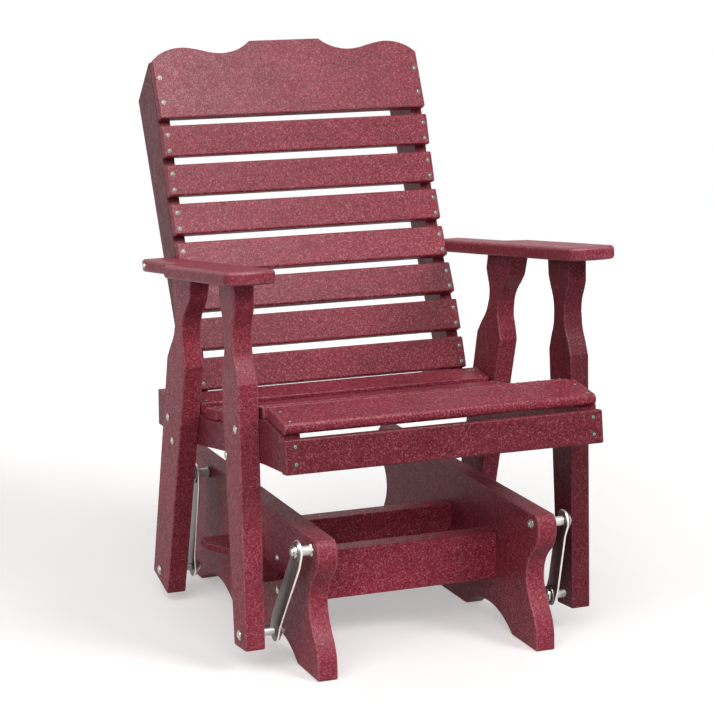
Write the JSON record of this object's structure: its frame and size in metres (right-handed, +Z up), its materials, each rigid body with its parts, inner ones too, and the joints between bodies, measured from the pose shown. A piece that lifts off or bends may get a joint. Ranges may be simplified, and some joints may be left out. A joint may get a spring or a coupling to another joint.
{
  "type": "glider chair",
  "caption": "Single-seat slatted glider armchair in speckled plastic lumber that hangs on metal swing links from a low floor stand.",
  "frame": {"origin": "centre of the bounding box, at floor level", "axes": "+X to the sitter's left, +Y to the back, +Z up; the chair faces -Y"},
  "size_m": [0.7526, 0.9071, 1.0661],
  "materials": {
    "lumber": "satin, finely speckled, with a light moulded grain",
    "zinc": "bright zinc plated",
    "dark_steel": "dull plated sheet"
  },
  "bodies": {
    "stand": {"left_side_panel": "lumber", "right_side_panel": "lumber", "front_cross_rail": "lumber", "rear_cross_rail": "lumber", "left_guide_plate": "lumber", "right_guide_plate": "lumber", "left_front_upper_pivot_bolt": "zinc", "left_front_upper_pivot_spacer": "zinc", "left_rear_upper_pivot_bolt": "zinc", "left_rear_upper_pivot_spacer": "zinc", "right_front_upper_pivot_bolt": "zinc", "right_front_upper_pivot_spacer": "zinc", "right_rear_upper_pivot_bolt": "zinc", "right_rear_upper_pivot_spacer": "zinc"},
    "left_front_link": {"left_front_link_strap": "dark_steel", "left_front_link_upper_bearing": "zinc", "left_front_link_lower_bearing": "zinc"},
    "left_rear_link": {"left_rear_link_strap": "dark_steel", "left_rear_link_upper_bearing": "zinc", "left_rear_link_lower_bearing": "zinc"},
    "right_front_link": {"right_front_link_strap": "dark_steel", "right_front_link_upper_bearing": "zinc", "right_front_link_lower_bearing": "zinc"},
    "right_rear_link": {"right_rear_link_strap": "dark_steel", "right_rear_link_upper_bearing": "zinc", "right_rear_link_lower_bearing": "zinc"},
    "seat": {"left_front_post": "lumber", "left_rear_post": "lumber", "right_front_post": "lumber", "right_rear_post": "lumber", "left_seat_rail": "lumber", "right_seat_rail": "lumber", "seat_apron": "lumber", "seat_slat_1": "lumber", "seat_slat_2": "lumber", "seat_slat_3": "lumber", "seat_slat_4": "lumber", "seat_slat_5": "lumber", "seat_slat_6": "lumber", "back_slat_1": "lumber", "back_slat_2": "lumber", "back_slat_3": "lumber", "back_slat_4": "lumber", "back_slat_5": "lumber", "back_slat_6": "lumber", "back_slat_7": "lumber", "crest_board": "lumber", "left_back_upright": "lumber", "right_back_upright": "lumber", "left_arm": "lumber", "right_arm": "lumber", "left_front_lower_pivot_bolt": "zinc", "left_front_lower_pivot_spacer": "zinc", "left_rear_lower_pivot_bolt": "zinc", "left_rear_lower_pivot_spacer": "zinc", "right_front_lower_pivot_bolt": "zinc", "right_front_lower_pivot_spacer": "zinc", "right_rear_lower_pivot_bolt": "zinc", "right_rear_lower_pivot_spacer": "zinc"}
  },
  "joints": [
    {"name": "left_front_link_swing", "type": "hinge", "parent": "stand", "child": "left_front_link", "pos_m": [0.2583, -0.38619, 0.2365], "axis": [1, 0, 0], "range_deg": [-20, 8]},
    {"name": "right_front_link_swing", "type": "hinge", "parent": "stand", "child": "right_front_link", "pos_m": [-0.2583, -0.38619, 0.2365], "axis": [1, 0, 0], "range_deg": [-20, 8]},
    {"name": "left_rear_link_swing", "type": "hinge", "parent": "stand", "child": "left_rear_link", "pos_m": [0.2583, 0.18581, 0.2365], "axis": [1, 0, 0], "range_deg": [-19.3, 7.8]},
    {"name": "right_rear_link_swing", "type": "hinge", "parent": "stand", "child": "right_rear_link", "pos_m": [-0.2583, 0.18581, 0.2365], "axis": [1, 0, 0], "range_deg": [-19.3, 7.8]},
    {"name": "seat_swing", "type": "hinge", "parent": "left_front_link", "child": "seat", "pos_m": [0.2743, -0.30959, 0.0692], "axis": [1, 0, 0], "range_deg": [-9.7, 24.1]}
  ],
  "couplings": [
    {"joint": "right_front_link_swing", "follows": "left_front_link_swing", "ratio": 1},
    {"joint": "left_rear_link_swing", "follows": "left_front_link_swing", "ratio": 0.9617},
    {"joint": "right_rear_link_swing", "follows": "left_front_link_swing", "ratio": 0.9617},
    {"joint": "seat_swing", "follows": "left_front_link_swing", "ratio": -1.1977}
  ]
}
